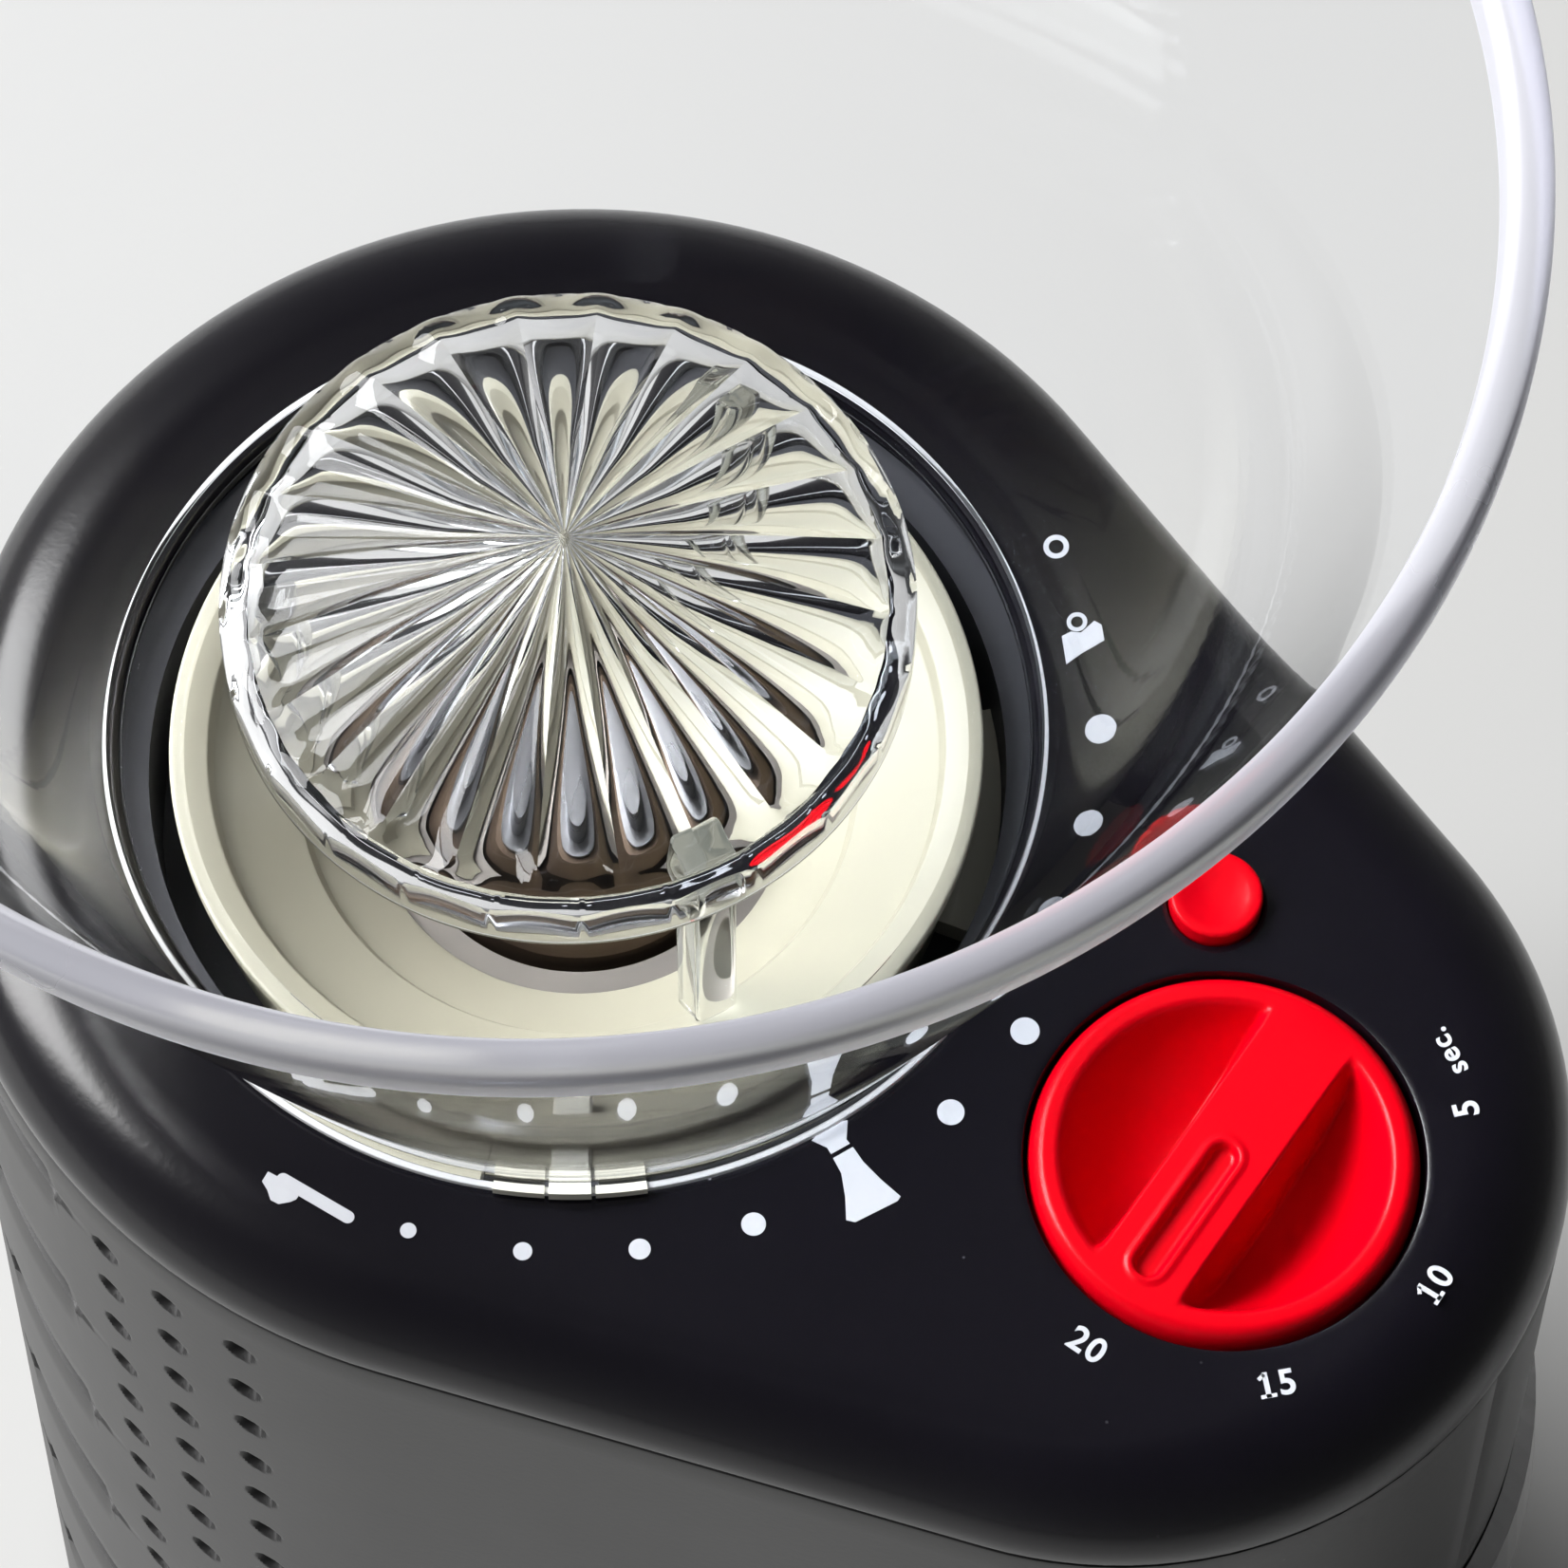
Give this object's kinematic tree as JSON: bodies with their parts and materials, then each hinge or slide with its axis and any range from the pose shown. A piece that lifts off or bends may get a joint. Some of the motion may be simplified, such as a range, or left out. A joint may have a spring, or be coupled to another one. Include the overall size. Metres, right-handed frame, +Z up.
{
  "type": "burr coffee grinder",
  "caption": "Upright electric conical burr coffee grinder with an open clear hopper, fluted burr guard, red timer knob, start button and a catcher jar in a front bay.",
  "frame": {"origin": "middle of the footprint of the whole machine, on the table", "axes": "+Z up, +X towards the jar bay and the timer knob, +Y to the side where the start button is"},
  "size_m": [0.1571, 0.13, 0.2684],
  "materials": {
    "body_plastic": "matt",
    "deck_plastic": "matt, smooth",
    "trim_gloss": "gloss",
    "jar_sleeve": "satin silicone",
    "rubber_black": "matt",
    "inner_plastic": "matt",
    "steel": "satin",
    "burr_steel": "ground",
    "brass": "turned",
    "iron_core": "lacquered windings on a laminated core",
    "clear_plastic": "clear, polished",
    "cream_plastic": "satin",
    "red_plastic": "gloss",
    "board_green": "lacquered board",
    "jar_glass": "clear"
  },
  "bodies": {
    "root": {"base_plate": "body_plastic", "rubber_feet": "rubber_black", "base_screws": "steel", "left_housing": "body_plastic", "right_housing": "body_plastic", "hood_trim": "trim_gloss", "bay_liner": "body_plastic", "top_deck": "deck_plastic", "deck_screws": "steel", "grind_chamber": "inner_plastic", "chute": "inner_plastic", "chute_gasket": "rubber_black", "gearbox_housing": "inner_plastic", "gearbox_cover": "inner_plastic", "gearbox_screws": "steel", "output_bearing": "steel", "output_bushing": "brass", "idler_pin": "steel", "motor_can": "steel", "stator": "iron_core", "end_bell": "inner_plastic", "brush_holders": "brass", "motor_cradle": "inner_plastic", "motor_damper": "rubber_black", "control_board": "board_green", "board_parts": "board_green", "board_pillars": "steel", "timer_unit": "board_green", "start_switch": "inner_plastic", "button_spring": "steel", "hopper_switch": "inner_plastic", "cord_gland": "trim_gloss"},
    "adjusting_ring": {"adjusting_ring": "inner_plastic"},
    "hopper": {"hopper_bowl": "clear_plastic", "burr_guard": "clear_plastic", "burr_carrier": "cream_plastic", "ring_burr": "burr_steel", "ring_burr_screws": "steel"},
    "rotor": {"armature": "iron_core", "commutator": "brass", "motor_shaft": "steel", "motor_pinion": "brass", "cooling_fan": "inner_plastic"},
    "idler": {"idler_gear": "cream_plastic"},
    "drive": {"cone_burr": "burr_steel", "drive_shaft": "steel", "burr_bolt": "steel", "sweeper": "cream_plastic", "output_gear": "steel"},
    "timer_knob": {"timer_knob": "red_plastic", "timer_shaft": "steel"},
    "start_button": {"start_button": "red_plastic"},
    "jar": {"jar_glass": "jar_glass", "jar_band": "jar_sleeve", "jar_lid": "trim_gloss"}
  },
  "joints": [
    {"name": "grind_setting", "type": "hinge", "parent": "root", "child": "adjusting_ring", "pos_m": [-0.01357, 0, 0.168], "axis": [0, 0, 1], "range_deg": [-28.8, 115.2]},
    {"name": "hopper_lift", "type": "slide", "parent": "adjusting_ring", "child": "hopper", "axis": [0, 0, 1], "range_m": [0, 0.09]},
    {"name": "motor_spin", "type": "hinge", "parent": "root", "child": "rotor", "pos_m": [-0.03157, 0, 0.08], "axis": [0, 0, 1], "continuous": true},
    {"name": "idler_spin", "type": "hinge", "parent": "root", "child": "idler", "pos_m": [-0.0283, 0.02287, 0.12], "axis": [0, 0, 1], "continuous": true},
    {"name": "burr_spin", "type": "hinge", "parent": "root", "child": "drive", "pos_m": [-0.01357, 0, 0.14], "axis": [0, 0, 1], "continuous": true},
    {"name": "timer_turn", "type": "hinge", "parent": "root", "child": "timer_knob", "pos_m": [0.04643, 0, 0.17], "axis": [0, 0, 1], "range_deg": [0, 185]},
    {"name": "start_press", "type": "slide", "parent": "root", "child": "start_button", "axis": [0, 0, -1], "range_m": [0, 0.0015], "stiffness_N_per_m": 800, "springref_m": -0.001, "deforming": ["button_spring"]},
    {"name": "jar_slide", "type": "slide", "parent": "root", "child": "jar", "axis": [1, 0, 0], "range_m": [0, 0.1]}
  ],
  "couplings": [
    {"joint": "idler_spin", "follows": "motor_spin", "ratio": -0.28333},
    {"joint": "burr_spin", "follows": "motor_spin", "ratio": 0.094444}
  ]
}
